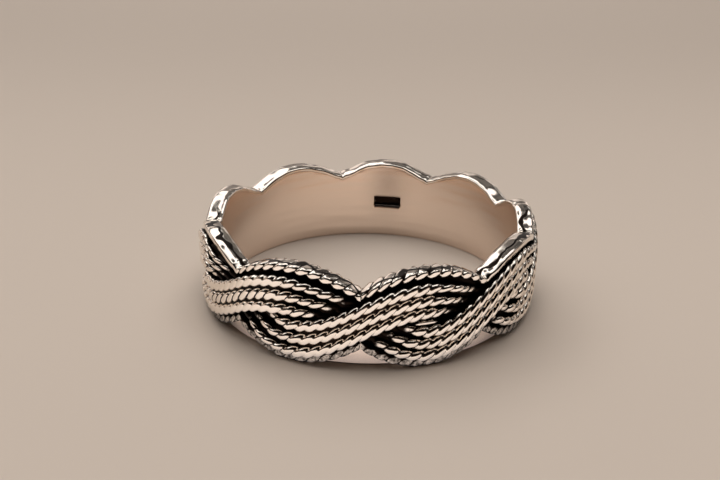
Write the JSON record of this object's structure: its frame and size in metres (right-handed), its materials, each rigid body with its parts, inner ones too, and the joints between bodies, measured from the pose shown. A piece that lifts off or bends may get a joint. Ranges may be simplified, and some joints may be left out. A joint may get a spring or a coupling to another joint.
{
  "type": "braided band ring",
  "caption": "Finger ring: a strand of three twisted wires braided over itself round an inner band with a scalloped rim, between two scalloped edge wires.",
  "frame": {"origin": "middle of the finger bore, at half the ring's height", "axes": "+Z along the bore axis; -Y towards the front of the ring as the picture shows it; the ring rests on its lower edge"},
  "size_m": [0.0206, 0.0206, 0.0054],
  "materials": {
    "polished_silver": "sterling silver, satin polished inside and bright on the rim",
    "oxidised_silver": "sterling silver, blackened in the hollows and polished on the outer faces of the wires"
  },
  "bodies": {
    "root": {"inner_band": "polished_silver", "strand_one": "oxidised_silver", "strand_two": "oxidised_silver", "top_edge_rope": "oxidised_silver", "bottom_edge_rope": "oxidised_silver"}
  },
  "joints": []
}
